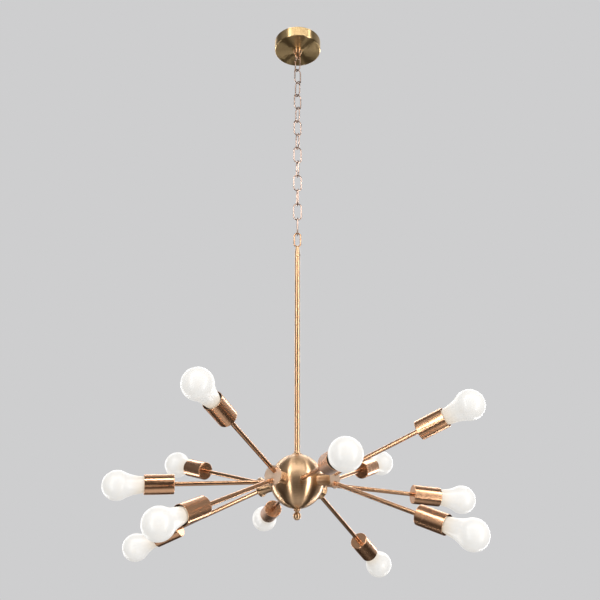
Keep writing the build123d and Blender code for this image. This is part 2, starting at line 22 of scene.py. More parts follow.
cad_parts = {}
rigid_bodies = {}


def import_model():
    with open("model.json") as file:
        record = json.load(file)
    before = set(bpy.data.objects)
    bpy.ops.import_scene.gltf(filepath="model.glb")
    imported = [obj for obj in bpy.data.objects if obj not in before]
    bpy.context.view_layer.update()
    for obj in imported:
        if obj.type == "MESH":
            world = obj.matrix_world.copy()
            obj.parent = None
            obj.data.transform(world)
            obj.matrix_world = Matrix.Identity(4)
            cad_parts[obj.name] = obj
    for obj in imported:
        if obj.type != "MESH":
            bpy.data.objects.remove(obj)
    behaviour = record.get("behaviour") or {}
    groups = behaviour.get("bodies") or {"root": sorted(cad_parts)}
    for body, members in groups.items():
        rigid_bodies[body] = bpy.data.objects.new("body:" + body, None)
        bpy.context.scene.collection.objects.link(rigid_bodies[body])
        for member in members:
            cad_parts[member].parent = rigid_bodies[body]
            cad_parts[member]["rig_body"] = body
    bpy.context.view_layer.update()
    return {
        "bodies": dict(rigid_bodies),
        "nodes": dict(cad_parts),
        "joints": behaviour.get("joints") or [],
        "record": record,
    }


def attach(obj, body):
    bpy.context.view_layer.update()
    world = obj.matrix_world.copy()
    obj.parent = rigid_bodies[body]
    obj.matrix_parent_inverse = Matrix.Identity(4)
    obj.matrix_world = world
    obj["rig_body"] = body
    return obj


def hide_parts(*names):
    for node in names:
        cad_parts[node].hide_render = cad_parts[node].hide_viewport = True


log = logging.getLogger("chandelier")

MM = 0.001
FACE_WEIGHT = 60   # for normals: 50 is neutral, and with more a large face counts more
Colour = tuple[float, float, float, float]
Outline = list[tuple[float, float]]
Corner = tuple[float, ...]   # a radius, a height and, where it is rounded, the fillet's radius
Socket = bpy.types.NodeSocket


class Slot(Enum):
    """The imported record's material slots."""

    BRUSHED_BRASS = "brushed_brass"
    CHAIN_BRASS = "chain_brass"
    ZINC_STEEL = "zinc_steel"
    GREEN_SCREW = "green_screw"
    BRIGHT_STEEL = "bright_steel"
    CONTACT_BRASS = "contact_brass"
    HOLDER_BLACK = "holder_black"
    LEAD_SLEEVE = "lead_sleeve"
    SPLICE_CAP = "splice_cap"
    FROSTED_GLASS = "frosted_glass"


class Grain(Enum):
    """How a metal surface was worked."""

    TURNED = "turned"    # fine lines round the piece's own axis
    DRAWN = "drawn"      # fine lines along it
    TUMBLED = "tumbled"  # small dents on every side


# ---------------------------------------------------------------- shader nodes


def tone(red: int, green: int, blue: int) -> Colour:
    """Turns a screen colour into the linear colour that a shader takes.

    Args:
        red: 0 to 255.
        green: 0 to 255.
        blue: 0 to 255.

    Returns:
        The linear colour with an alpha of 1.
    """
    shares = (red / 255, green / 255, blue / 255)
    linear = [s / 12.92 if s <= 0.04045 else ((s + 0.055) / 1.055) ** 2.4 for s in shares]
    return (*linear, 1.0)


class Graph:
    """A node tree, with short ways to add nodes and to join them."""

    def __init__(self, tree: bpy.types.NodeTree) -> None:
        """Empties the tree and keeps it."""
        self.tree = tree
        tree.nodes.clear()

    def feed(self, socket: Socket, source: object) -> None:
        """Joins a socket to another one, or sets its value.

        Args:
            socket: the input.
            source: an output socket, a number or a colour.
        """
        if isinstance(source, Socket):
            self.tree.links.new(source, socket)
        else:
            socket.default_value = source

    def node(self, kind: str, inputs: dict | None = None, **facts: object) -> bpy.types.Node:
        """Adds one node.

        Args:
            kind: its type, without the leading ShaderNode or NodeGroup.
            inputs: what is fed to it, by the names or numbers of its sockets.
            facts: properties to set on it.

        Returns:
            The new node.
        """
        family = "NodeGroup" if kind in ("Input", "Output") else "ShaderNode"
        made = self.tree.nodes.new(family + kind)
        for name, value in facts.items():
            setattr(made, name, value)
        for name, source in (inputs or {}).items():
            self.feed(made.inputs[name], source)
        return made

    def math(self, operation: str, *sources: object, clamp: bool = False) -> Socket:
        """Gives an operation's result, kept between 0 and 1 where it is clamped."""
        facts = {"operation": operation, "use_clamp": clamp}
        return self.node("Math", dict(enumerate(sources)), **facts).outputs[0]

    def mix(self, share: object, first: object, second: object) -> Socket:
        """Mixes two colours, with a share from 0 to 1 of the second."""
        inputs = {"Fac": share, "Color1": first, "Color2": second}
        return self.node("MixRGB", inputs).outputs["Color"]

    def between(self, value: object, low: float, high: float) -> Socket:
        """Stretches a value so that low becomes 0 and high becomes 1, and keeps it between them."""
        inputs = {"Value": value, "From Min": low, "From Max": high}
        return self.node("MapRange", inputs, interpolation_type="SMOOTHSTEP").outputs["Result"]

    def noise(self, where: object, scale: object, detail: float = 2.0, **more: object) -> Socket:
        """Adds noise.

        Args:
            where: the vector it is read at.
            scale: its scale.
            detail: how many finer layers it has.
            more: its other inputs. With a fourth coordinate, W, it has four dimensions.

        Returns:
            A value around 0.5.
        """
        inputs = {"Vector": where, "Scale": scale, "Detail": detail, **more}
        size = "4D" if "W" in more else "3D"
        return self.node("TexNoise", inputs, noise_dimensions=size).outputs["Fac"]

    def relief(self, height: object, depth: float) -> Socket:
        """Gives the normal of a relief from 0 to 1, for its depth in millimetres."""
        return self.node("Bump", {"Height": height, "Distance": depth * MM}).outputs["Normal"]

    def effect(self, group: bpy.types.NodeTree, **values: object) -> Socket:
        """Places a shared node group, with what its inputs are fed, and gives its output."""
        return self.node("Group", values, node_tree=group).outputs[0]


class Effects:
    """The node groups that several finishes share, each built once."""

    LINES = (0.28, 0.72)     # the noise at a line's bottom and on its top
    DENTS = (0.05, 0.75)     # the cells' distance in a dent and beside it
    EDGES = (0.52, 0.60)     # the pointiness of a flat and of a worn edge
    CHIPS = (0.35, 0.6)      # the noise that breaks the wear up
    PATCHES = (0.42, 0.68)   # the noise outside and inside a dull patch
    LEAST_RADIUS = 1e-6      # in metres, so that nothing is divided by 0 on the axis

    def __init__(self) -> None:
        """Builds every group."""
        self.grain = {
            Grain.TURNED: self._turned(),
            Grain.DRAWN: self._drawn(),
            Grain.TUMBLED: self._tumbled(),
        }
        self.edge_wear = self._edge_wear()
        self.handling = self._handling()

    @staticmethod
    def _start(name: str, output: str, **inputs: float) -> tuple[Graph, object, Socket]:
        """Starts a group with a Position input.

        Args:
            name: the group's name.
            output: its output's name.
            inputs: its other inputs, with the values that they start at.

        Returns:
            The graph, its inputs by name, and the socket that its output is fed to.
        """
        tree = bpy.data.node_groups.new(name, "ShaderNodeTree")
        tree.interface.new_socket("Position", in_out="INPUT", socket_type="NodeSocketVector")
        for label, value in inputs.items():
            socket = tree.interface.new_socket(label, in_out="INPUT", socket_type="NodeSocketFloat")
            socket.default_value = value
        tree.interface.new_socket(output, in_out="OUTPUT", socket_type="NodeSocketFloat")
        graph = Graph(tree)
        return graph, graph.node("Input").outputs, graph.node("Output").inputs[0]

    def _unrolled(
        self, graph: Graph, where: object, around: object, along: object
    ) -> tuple[Socket, Socket]:
        """Gives a place by its direction round Z and its height.

        Args:
            graph: the group's graph.
            where: the place.
            around: the scale of the direction.
            along: the scale of the height.

        Returns:
            The scaled place, and its distance from Z.
        """
        x, y, height = graph.node("SeparateXYZ", {0: where}).outputs
        squares = [graph.math("MULTIPLY", side, side) for side in (x, y)]
        radius = graph.math("SQRT", graph.math("ADD", *squares))
        safe = graph.math("MAXIMUM", radius, self.LEAST_RADIUS)
        turns = [graph.math("DIVIDE", side, safe) for side in (x, y)]
        place = [graph.math("MULTIPLY", turn, around) for turn in turns]
        place.append(graph.math("MULTIPLY", height, along))
        return graph.node("CombineXYZ", dict(enumerate(place))).outputs[0], radius

    def _turned(self) -> bpy.types.NodeTree:
        """Builds the lines that a lathe and a brush leave round a piece.

        Returns:
            The group, whose Grain is 0 in a line's bottom and 1 on its top.
        """
        graph, given, result = self._start("turned grain", "Grain", Lines=4000.0, Arc=2.5)
        place, radius = self._unrolled(graph, given["Position"], given["Arc"], given["Lines"])
        faced = graph.math("MULTIPLY", radius, given["Lines"])
        graph.feed(result, graph.between(graph.noise(place, 1.0, 3.0, W=faced), *self.LINES))
        return graph.tree

    def _drawn(self) -> bpy.types.NodeTree:
        """Builds the lines that a die leaves along a tube.

        Returns:
            The group, whose Grain is 0 in a line's bottom and 1 on its top.
        """
        graph, given, result = self._start("drawn grain", "Grain", Lines=40.0, Arc=6.0)
        place, _ = self._unrolled(graph, given["Position"], given["Lines"], given["Arc"])
        graph.feed(result, graph.between(graph.noise(place, 1.0, 3.0), *self.LINES))
        return graph.tree

    def _tumbled(self) -> bpy.types.NodeTree:
        """Builds the small dents of pieces that were tumbled or cast.

        Returns:
            The group, whose Grain is 0 in a dent and 1 beside it.
        """
        graph, given, result = self._start("tumbled grain", "Grain", Lines=900.0, Arc=3.0)
        inputs = {"Vector": given["Position"], "Scale": given["Lines"]}
        cells = graph.node("TexVoronoi", inputs, feature="SMOOTH_F1")
        rough = graph.noise(given["Position"], graph.math("MULTIPLY", given["Lines"], given["Arc"]))
        both = graph.math("MULTIPLY", cells.outputs["Distance"], graph.math("ADD", rough, 0.5))
        graph.feed(result, graph.between(both, *self.DENTS))
        return graph.tree

    def _edge_wear(self) -> bpy.types.NodeTree:
        """Builds the mask of rubbed edges.

        Returns:
            The group, whose Mask is 1 on a worn edge.
        """
        graph, given, result = self._start("edge wear", "Mask", Amount=0.5, Size=300.0)
        raised = graph.between(graph.node("NewGeometry").outputs["Pointiness"], *self.EDGES)
        chips = graph.between(graph.noise(given["Position"], given["Size"]), *self.CHIPS)
        broken = graph.math("MULTIPLY", raised, chips)
        graph.feed(result, graph.math("MULTIPLY", broken, given["Amount"], clamp=True))
        return graph.tree

    def _handling(self) -> bpy.types.NodeTree:
        """Builds the soft patches that fingers and polishing cloths leave.

        Returns:
            The group, whose Mask is 1 in a dull patch.
        """
        graph, given, result = self._start("handling", "Mask", Amount=0.5, Size=40.0)
        patches = graph.noise(given["Position"], given["Size"], 4.0, Distortion=0.6)
        dull = graph.between(patches, *self.PATCHES)
        graph.feed(result, graph.math("MULTIPLY", dull, given["Amount"], clamp=True))
        return graph.tree


# -------------------------------------------------------------------- finishes

QUARTER_TURN = 0.25   # of a full turn: a highlight is drawn across the grain


class Surface(Graph):
    """A material's graph, which knows the shared effects and the place on its piece."""

    def __init__(self, tree: bpy.types.NodeTree, effects: Effects) -> None:
        """Keeps the effects, and finds the place in the piece's own frame."""
        super().__init__(tree)
        self.effects, self.where = effects, self.node("TexCoord").outputs["Object"]

    def grain(self, kind: Grain, lines: float, arc: float) -> Socket:
        """Gives a grain, for how many lines it has and how fast they change."""
        return self.effect(self.effects.grain[kind], Position=self.where, Lines=lines, Arc=arc)

    def dull(self, size: float, amount: float) -> Socket:
        """Gives the mask of dull patches, for how many there are in a metre and how dull."""
        return self.effect(self.effects.handling, Position=self.where, Size=size, Amount=amount)

    def worn(self, amount: float) -> Socket:
        """Gives the mask of rubbed edges, for how rubbed they are."""
        return self.effect(self.effects.edge_wear, Position=self.where, Amount=amount)


@dataclass(frozen=True)
class Finish(ABC):
    """What a surface is and how it looks."""

    name: str
    slot: Slot | None   # none for what is no part of the model

    @abstractmethod
    def looks(self, on: Surface) -> dict[str, object]:
        """Gives what the shader's sockets are fed, on the material's graph."""

    def material(self, effects: Effects) -> bpy.types.Material:
        """Builds the material, with one Principled shader.

        Args:
            effects: the shared node groups.

        Returns:
            The material.
        """
        made = bpy.data.materials.new(self.name)
        made.use_nodes = True
        on = Surface(made.node_tree, effects)
        shader = on.node("BsdfPrincipled", self.looks(on))
        on.node("OutputMaterial", {"Surface": shader.outputs[0]})
        return made


@dataclass(frozen=True)
class Metal(Finish):
    """A bare, plated or lacquered metal."""

    light: Colour               # on top of the grain
    dark: Colour                # in its lines and dents
    rubbed: Colour              # on worn edges
    grain: Grain = Grain.TURNED
    lines: float = 4000.0       # lines a metre, or round a tube
    arc: float = 2.5            # how fast a line changes along its length
    depth: float = 0.0008       # of the lines, in millimetres
    roughness: float = 0.25
    line_rough: float = 0.04    # how much rougher a line's bottom is than its top
    stretch: float = 0.0        # how far the grain draws a highlight across itself
    wear: float = 0.5
    patches: float = 40.0       # how many dull patches there are in a metre
    patch: float = 0.6          # how dull a patch is
    patch_tint: float = 0.2     # how far it takes the dark colour
    patch_rough: float = 0.04
    lacquer: float = 0.0
    lacquer_rough: float = 0.12

    def looks(self, on: Surface) -> dict[str, object]:
        """Gives what the shader's sockets are fed.

        Args:
            on: the material's graph.

        Returns:
            The sources, by the sockets' names.
        """
        lines = on.grain(self.grain, self.lines, self.arc)
        dull, worn = on.dull(self.patches, self.patch), on.worn(self.wear)
        colour = on.mix(lines, self.dark, self.light)
        colour = on.mix(on.math("MULTIPLY", dull, self.patch_tint), colour, self.dark)
        roughest = self.roughness + self.line_rough / 2
        rough = on.math("MULTIPLY_ADD", lines, -self.line_rough, roughest)
        looks = {
            "Base Color": on.mix(worn, colour, self.rubbed),
            "Roughness": on.math("MULTIPLY_ADD", dull, self.patch_rough, rough),
            "Metallic": 1.0, "Coat Weight": self.lacquer, "Coat Roughness": self.lacquer_rough,
            "Normal": on.relief(lines, self.depth),
        }
        if self.stretch:
            tangent = on.node("Tangent", direction_type="RADIAL", axis="Z").outputs[0]
            looks |= {"Anisotropic": self.stretch, "Tangent": tangent}
            looks["Anisotropic Rotation"] = QUARTER_TURN
        return looks


@dataclass(frozen=True)
class Moulded(Finish):
    """A moulded plastic, rubber or fired insulator."""

    body: Colour
    bloom: Colour               # where it is chalky or rubbed
    roughness: float = 0.45
    speckle: float = 900.0      # dents a metre
    fineness: float = 2.0       # of the roughness between them
    depth: float = 0.02         # of the dents, in millimetres
    wear: float = 0.5
    patches: float = 90.0       # how many dull patches there are in a metre
    patch: float = 0.8          # how dull a patch is
    patch_tint: float = 0.5     # how far it takes the bloom's colour
    patch_rough: float = 0.15

    def looks(self, on: Surface) -> dict[str, object]:
        """Gives what the shader's sockets are fed.

        Args:
            on: the material's graph.

        Returns:
            The sources, by the sockets' names.
        """
        skin = on.grain(Grain.TUMBLED, self.speckle, self.fineness)
        dull, worn = on.dull(self.patches, self.patch), on.worn(self.wear)
        colour = on.mix(dull, self.body, on.mix(self.patch_tint, self.body, self.bloom))
        return {
            "Base Color": on.mix(worn, colour, self.bloom),
            "Roughness": on.math("MULTIPLY_ADD", dull, self.patch_rough, self.roughness),
            "Normal": on.relief(skin, self.depth),
        }


@dataclass(frozen=True)
class LitGlass(Finish):
    """Opal glass with the lamp burning behind it, warmer and less bright down its neck."""

    name: str = "lit opal glass"
    slot: Slot = Slot.FROSTED_GLASS
    glass: Colour = tone(160, 158, 155)
    glow: Colour = tone(188, 187, 184)
    neck: Colour = tone(182, 168, 148)
    neck_from: float = 30.0     # height over the contact, in millimetres
    neck_to: float = 62.0
    strength: float = 1.0
    clouds: float = 70.0        # how many there are in a metre
    cloud: float = 0.1          # how far one takes the neck's colour
    frost: float = 1800.0       # dents a metre
    fineness: float = 2.0       # of the roughness between them
    depth: float = 0.001        # of the dents, in millimetres
    roughness: float = 0.3
    frost_rough: float = 0.08

    def looks(self, on: Surface) -> dict[str, object]:
        """Gives what the shader's sockets are fed.

        Args:
            on: the material's graph.

        Returns:
            The sources, by the sockets' names.
        """
        height = on.node("SeparateXYZ", {0: on.where}).outputs["Z"]
        share = on.between(height, self.neck_from * MM, self.neck_to * MM)
        cloud = on.dull(self.clouds, self.cloud)
        frost = on.grain(Grain.TUMBLED, self.frost, self.fineness)
        return {
            "Base Color": on.mix(cloud, self.glass, self.neck),
            "Emission Color": on.mix(cloud, on.mix(share, self.neck, self.glow), self.neck),
            "Emission Strength": self.strength,
            "Roughness": on.math("MULTIPLY_ADD", frost, self.frost_rough, self.roughness),
            "Normal": on.relief(frost, self.depth),
        }


@dataclass(frozen=True)
class PaleFloor(Finish):
    """A plain pale floor that fades out towards its rim."""

    name: str = "pale floor"
    slot: Slot | None = None
    radius: float = 1.3         # in metres
    fade: tuple[float, float] = (0.8, 0.2)   # shares of the radius, from nothing to full
    tones: tuple[Colour, Colour] = (tone(204, 204, 205), tone(212, 211, 210))
    clouds: float = 1.4         # how many there are in a metre
    roughness: float = 0.9
    shine: float = 0.1

    def looks(self, on: Surface) -> dict[str, object]:
        """Gives what the shader's sockets are fed.

        Args:
            on: the material's graph.

        Returns:
            The sources, by the sockets' names.
        """
        away = on.node("VectorMath", {0: on.where}, operation="LENGTH").outputs["Value"]
        return {
            "Base Color": on.mix(on.noise(on.where, self.clouds, 4.0), *self.tones),
            "Roughness": self.roughness, "Specular IOR Level": self.shine,
            "Alpha": on.between(away, *(self.radius * share for share in self.fade)),
        }


BRASS_RUBBED = tone(242, 216, 186)
BRUSHED = {"roughness": 0.33, "stretch": 0.93, "lacquer": 0.1}
TURNED_BRASS = Metal(
    "turned brass", Slot.BRUSHED_BRASS, tone(226, 189, 150), tone(204, 166, 126), BRASS_RUBBED,
    **BRUSHED,
)
# Pods' end faces: a rougher satin facing, in a paler copy of the brass. The paler colour is painted
# light, standing for the light these faces catch from the front lamps.
SATIN_FACE_BRASS_PAINTED_LIGHT = Metal(
    "satin face brass with painted light", Slot.BRUSHED_BRASS, tone(246, 222, 200), tone(226, 192, 162),
    tone(250, 232, 214), roughness=0.42, stretch=0.3, lacquer=0.1,
)
CANOPY_BRASS = Metal(
    "canopy brass", Slot.BRUSHED_BRASS, tone(228, 198, 148), tone(204, 172, 120),
    tone(242, 220, 180), **BRUSHED,
)
CUP_BRASS = Metal(
    "copper-toned turned brass", Slot.BRUSHED_BRASS, tone(234, 184, 145), tone(218, 166, 127),
    BRASS_RUBBED, roughness=0.24, lacquer=0.1,
)
TUBE_BRASS = Metal(
    "drawn brass tube", Slot.BRUSHED_BRASS, tone(222, 176, 138), tone(202, 154, 116), BRASS_RUBBED,
    grain=Grain.DRAWN, lines=40.0, arc=4.0, depth=0.0001, roughness=0.22, wear=0.3, patches=12.0,
    lacquer=0.1,
)
LOOP_BRASS = Metal(
    "bent brass wire", Slot.BRUSHED_BRASS, tone(214, 172, 138), tone(165, 125, 96), BRASS_RUBBED,
    grain=Grain.TUMBLED, lines=700.0, depth=0.012, roughness=0.24,
)
CHAIN_BRASS = Metal(
    "tumbled chain", Slot.CHAIN_BRASS, tone(198, 172, 156), tone(140, 116, 104),
    tone(228, 208, 192), grain=Grain.TUMBLED, lines=800.0, depth=0.03, roughness=0.3, wear=0.8,
    patches=60.0,
)
ZINC_STEEL = Metal(
    "zinc plated steel", Slot.ZINC_STEEL, tone(196, 198, 200), tone(150, 154, 158),
    tone(224, 224, 222), grain=Grain.TUMBLED, lines=500.0, depth=0.015, roughness=0.34,
)
GREEN_SCREW = Metal(
    "green screw", Slot.GREEN_SCREW, tone(76, 128, 80), tone(44, 88, 52), tone(170, 176, 150),
    grain=Grain.TUMBLED, lines=700.0, depth=0.01, roughness=0.36,
)
BRIGHT_STEEL = Metal(
    "nickel plate", Slot.BRIGHT_STEEL, tone(222, 220, 214), tone(176, 172, 164),
    tone(240, 238, 232), grain=Grain.TUMBLED, lines=420.0, depth=0.008, roughness=0.2,
)
CONTACT_BRASS = Metal(
    "spring brass", Slot.CONTACT_BRASS, tone(214, 184, 116), tone(168, 136, 78),
    tone(234, 210, 150), grain=Grain.TUMBLED, lines=600.0, depth=0.01, roughness=0.28,
)
HOLDER_BLACK = Moulded("black phenolic", Slot.HOLDER_BLACK, tone(38, 35, 33), tone(86, 80, 74))
LAMP_GLASS_BLACK = Moulded(
    "black fired glass", Slot.HOLDER_BLACK, tone(28, 26, 30), tone(70, 66, 72), 0.18, depth=0.01,
)
LEAD_SLEEVE = Moulded(
    "lead sleeve", Slot.LEAD_SLEEVE, tone(222, 214, 196), tone(236, 232, 222), 0.5,
)
SPLICE_CAP = Moulded(
    "splice cap", Slot.SPLICE_CAP, tone(206, 140, 52), tone(226, 178, 110), 0.42,
)
LIT_GLASS = LitGlass()


# ---------------------------------------------------------------------- shapes

def rounded(corners: Sequence[Corner], closed: bool, steps: int = 5) -> Outline:
    """Rounds an outline's corners.

    Args:
        corners: the outline, in order.
        closed: whether the last corner joins the first.
        steps: how many straight pieces make a rounded corner.

    Returns:
        The outline's points.
    """
    points: Outline = []
    for i, (radius, height, *fillet) in enumerate(corners):
        here = Vector((radius, height))
        if not fillet or (not closed and i in (0, len(corners) - 1)):
            points.append((here.x, here.y))
            continue
        back = (Vector(corners[i - 1][:2]) - here).normalized()
        on = (Vector(corners[(i + 1) % len(corners)][:2]) - here).normalized()
        half = back.angle(on) / 2
        centre = here + (back + on).normalized() * (fillet[0] / math.sin(half))
        reach = fillet[0] / math.tan(half)
        start, end = here + back * reach - centre, here + on * reach - centre
        turn = math.pi - 2 * half
        for share in (k / steps for k in range(steps + 1)):
            spoke = start * math.sin((1 - share) * turn) + end * math.sin(share * turn)
            spoke /= math.sin(turn)
            points.append((centre.x + spoke.x, centre.y + spoke.y))
    return points


def arc(centre: float, radius: float, first: float, last: float, steps: int) -> Outline:
    """Lists points on a circle whose centre is on the axis.

    Args:
        centre: the height of its centre.
        radius: its radius.
        first: the first point's angle above the horizontal, in degrees.
        last: the last point's angle.
        steps: how many straight pieces it gets.

    Returns:
        The points. One at plus or minus 90 degrees is on the axis.
    """
    angles = [math.radians(first + (last - first) * k / steps) for k in range(steps + 1)]
    return [(max(0.0, radius * math.cos(a)), centre + radius * math.sin(a)) for a in angles]


def curve(stations: Sequence[tuple[Vector, Vector]], steps: int) -> Outline:
    """Draws a smooth line through points with given directions.

    Args:
        stations: pairs of a point and its direction.
        steps: how many straight pieces lie between two points.

    Returns:
        The line's points.
    """
    points: Outline = []
    for (start, out), (end, into) in zip(stations, stations[1:]):
        reach = (end - start).length
        a, b = out.normalized() * reach, into.normalized() * reach
        for k in range(steps):
            t = k / steps
            p = (
                start * (2 * t**3 - 3 * t**2 + 1) + a * (t**3 - 2 * t**2 + t)
                + end * (3 * t**2 - 2 * t**3) + b * (t**3 - t**2)
            )
            points.append((p.x, p.y))
    points.append((stations[-1][0].x, stations[-1][0].y))
    return points


ON_AXIS = 1e-6   # a radius below which a point is on the axis, in millimetres


class Shape:
    """One piece's mesh while it is made, in millimetres, with a finish number on each face."""

    def __init__(self) -> None:
        """Starts with nothing."""
        self.mesh = bmesh.new()

    def _strip(self, before: list, after: list, finish: int) -> None:
        """Joins two rings with faces, where a ring of one vertex is a point on the axis.

        Args:
            before: the first ring.
            after: the second ring.
            finish: the faces' finish number.
        """
        b, a = len(before), len(after)
        for i in range(max(a, b)):
            j = (i + 1) % max(a, b)
            corners = (before[i % b], before[j % b], after[j % a], after[i % a])
            unlike = list(dict.fromkeys(corners))
            if len(unlike) > 2:
                self.mesh.faces.new(unlike).material_index = finish

    def turn(
        self,
        outline: Outline,
        sides: int,
        closed: bool,
        finish: int | Callable[[float, float], int] = 0,
        cut: Callable[[float, float, float], float] | None = None,
    ) -> Shape:
        """Turns an outline round the Z axis.

        Args:
            outline: pairs of radius and height.
            sides: how many faces go round.
            closed: whether the last point joins the first. An open one starts and ends on the axis.
            finish: the finish number, or what gives it for a radius and a height.
            cut: gives a new radius for an angle, a radius and a height, such as a thread's.

        Returns:
            The shape itself.
        """
        rings = []
        for radius, height in outline:
            if radius < ON_AXIS:
                rings.append([self.mesh.verts.new((0, 0, height))])
                continue
            ring = []
            for k in range(sides):
                angle = 2 * math.pi * k / sides
                r = cut(angle, radius, height) if cut else radius
                ring.append(self.mesh.verts.new((r * math.cos(angle), r * math.sin(angle), height)))
            rings.append(ring)
        for a in range(len(rings) if closed else len(rings) - 1):
            b = (a + 1) % len(rings)
            middle = [(outline[a][n] + outline[b][n]) / 2 for n in (0, 1)]
            self._strip(rings[a], rings[b], finish(*middle) if callable(finish) else finish)
        return self

    def wire(
        self, path: Sequence[Vector], radii: Sequence[float], closed: bool, sides: int = 16
    ) -> Shape:
        """Bends a round wire along a path in the XZ plane.

        Args:
            path: the points that its middle follows.
            radii: its radius at each point.
            closed: whether its ends meet.
            sides: how many faces go round it.

        Returns:
            The shape itself.
        """
        rings, count = [], len(path)
        for i, (point, radius) in enumerate(zip(path, radii)):
            before = path[i - 1] if closed or i else path[0]
            after = path[(i + 1) % count] if closed or i < count - 1 else path[-1]
            across = (after - before).cross(Vector((0, 1, 0))).normalized()
            ring = []
            for k in range(sides):
                angle = 2 * math.pi * k / sides
                spoke = across * math.cos(angle) + Vector((0, 1, 0)) * math.sin(angle)
                ring.append(self.mesh.verts.new(point + spoke * radius))
            rings.append(ring)
        for a, b in zip(rings, rings[1:]):
            self._strip(a, b, 0)
        if closed:
            self._strip(rings[-1], rings[0], 0)
        else:
            self.mesh.faces.new(rings[0])
            self.mesh.faces.new(rings[-1])
        return self

    def finished(self, name: str) -> bpy.types.Mesh:
        """Turns the shape into a mesh in metres, with smooth faces that look outwards.

        Args:
            name: the mesh's name.

        Returns:
            The mesh.
        """
        bmesh.ops.scale(self.mesh, vec=(MM, MM, MM), verts=self.mesh.verts)
        bmesh.ops.recalc_face_normals(self.mesh, faces=self.mesh.faces)
        for face in self.mesh.faces:
            face.smooth = True
        made = bpy.data.meshes.new(name)
        self.mesh.to_mesh(made)
        self.mesh.free()
        return made


def turned(corners: Sequence[Corner], sides: int, closed: bool = True, steps: int = 5) -> Shape:
    """Turns an outline whose corners are rounded.

    Args:
        corners: the outline, in order.
        sides: how many faces go round.
        closed: whether the last corner joins the first.
        steps: how many straight pieces make a rounded corner.

    Returns:
        The shape.
    """
    return Shape().turn(rounded(corners, closed, steps), sides, closed)


def pipe(radius: float, wall: float, low: float, high: float, sides: int) -> Shape:
    """Makes a tube with eased ends.

    Args:
        radius: its outer radius.
        wall: how thick it is.
        low: the height of its lower end.
        high: the height of its upper end.
        sides: how many faces go round.

    Returns:
        The shape.
    """
    bore, inner_ease, outer_ease = radius - wall, 0.2, 0.3
    corners = [
        (bore, low, inner_ease), (radius, low, outer_ease),
        (radius, high, outer_ease), (bore, high, inner_ease),
    ]
    return turned(corners, sides, steps=3)


def stadium(
    bend: float, straight: float, middle: float, turns: int = 16, runs: int = 12
) -> list[Vector]:
    """Lists the points of a long closed loop that stands in the XZ plane.

    Args:
        bend: the radius of its two ends.
        straight: half the length of its sides.
        middle: the height of its middle.
        turns: how many pieces each end gets.
        runs: how many pieces each side gets.

    Returns:
        The points, which start at the top of its right side.
    """
    points = []
    for side, rise in ((1, 1), (-1, -1)):
        for k in range(turns):
            angle = math.pi * k / turns
            spoke = Vector((side * bend * math.cos(angle), 0, rise * bend * math.sin(angle)))
            points.append(spoke + Vector((0, 0, middle + rise * straight)))
        for k in range(runs):
            points.append(Vector((-side * bend, 0, middle + rise * straight * (1 - 2 * k / runs))))
    return points


# ---------------------------------------------------------------- the workshop


@dataclass
class Workshop:
    """Makes pieces, dresses them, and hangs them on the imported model's bodies."""

    frame: dict
    effects: Effects
    materials: dict[str, bpy.types.Material] = field(default_factory=dict)

    def material(self, finish: Finish) -> bpy.types.Material:
        """Gives a finish's material, and builds it the first time.

        Args:
            finish: the finish.

        Returns:
            Its material.
        """
        if finish.name not in self.materials:
            self.materials[finish.name] = finish.material(self.effects)
        return self.materials[finish.name]

    def piece(
        self,
        name: str,
        shape: Shape,
        node: str,
        finishes: Sequence[Finish],
        where: Matrix | None = None,
    ) -> bpy.types.Object:
        """Makes a piece that stands for a CAD node and rides on that node's body.

        Args:
            name: the piece's name.
            shape: its mesh.
            node: the CAD node that it stands for.
            finishes: its finishes, by the numbers on its faces.
            where: where its own frame is, or none for the model's frame.

        Returns:
            The piece.
        """
        made = placed(name, shape.finished(name))
        for finish in finishes:
            made.data.materials.append(self.material(finish))
        made.matrix_world = where or Matrix.Identity(4)
        made.modifiers.new("even normals", "WEIGHTED_NORMAL").weight = FACE_WEIGHT
        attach(made, self.frame["nodes"][node]["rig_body"])
        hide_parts(node)
        log.info("%s stands for %s", name, node)
        return made

    def dress(self, node: str, finish: Finish) -> None:
        """Gives a CAD node that stays in view its finish.

        Args:
            node: the node.
            finish: its finish.
        """
        mesh = self.frame["nodes"][node].data
        mesh.materials.clear()
        mesh.materials.append(self.material(finish))
        log.info("%s is dressed in %s", node, finish.name)


def placed(name: str, data: bpy.types.ID) -> bpy.types.Object:
    """Puts a mesh, lamp or camera into the scene as an object.

    Args:
        name: the object's name.
        data: what it shows.

    Returns:
        The object.
    """
    made = bpy.data.objects.new(name, data)
    bpy.context.scene.collection.objects.link(made)
    return made


def frame_at(origin: Vector, along: Vector, side: Vector) -> Matrix:
    """Makes a frame from its origin and two of its axes.

    Args:
        origin: where it is, in millimetres.
        along: its Z axis.
        side: its X axis.

    Returns:
        The frame, in metres.
    """
    z, x = along.normalized(), side.normalized()
    return Matrix.Translation(origin * MM) @ Matrix((x, z.cross(x), z)).transposed().to_4x4()


def moved(frame: Matrix, distance: float) -> Matrix:
    """Moves a frame along its own Z axis, by a distance in millimetres."""
    return frame @ Matrix.Translation((0, 0, distance * MM))


# ------------------------------------------------------------- the ceiling end


